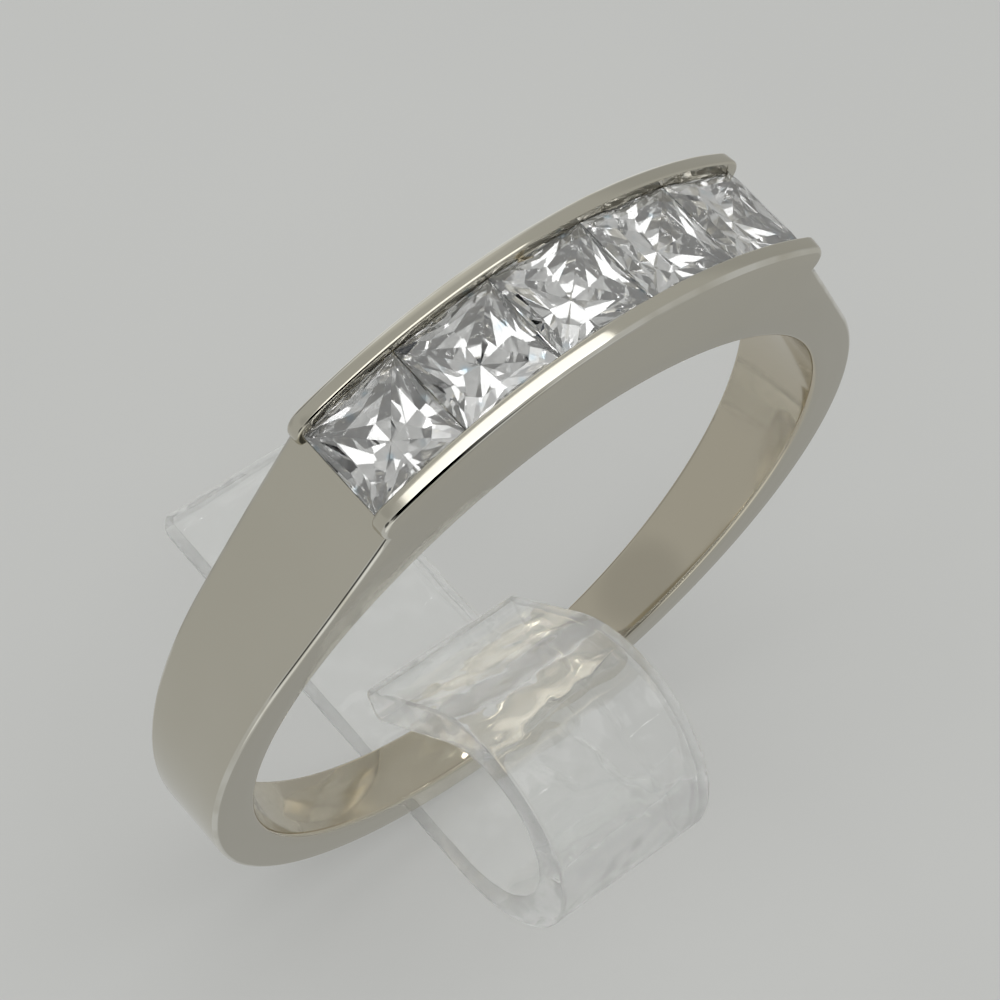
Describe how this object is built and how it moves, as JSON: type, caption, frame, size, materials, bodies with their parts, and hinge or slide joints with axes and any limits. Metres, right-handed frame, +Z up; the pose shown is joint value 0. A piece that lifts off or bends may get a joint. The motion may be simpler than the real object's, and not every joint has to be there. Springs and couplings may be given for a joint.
{
  "type": "channel set band on clear ring stand",
  "caption": "Polished channel set band with a row of square cut stones held between rails, standing upright on a clear bent strip.",
  "frame": {"origin": "on the table that the strip's foot lies on, straight below the middle of the finger hole", "axes": "+X along the row of stones, +Y along the finger and away from the strip's curl, +Z up through the middle stone"},
  "size_m": [0.0196, 0.0164, 0.0224],
  "materials": {
    "polished_metal": "polished white gold",
    "stone": "polished facets",
    "clear_plastic": "clear acrylic, polished"
  },
  "bodies": {
    "root": {"band": "polished_metal", "stone_1": "stone", "stone_2": "stone", "stone_3": "stone", "stone_4": "stone", "stone_5": "stone", "ring_stand": "clear_plastic"}
  },
  "joints": []
}
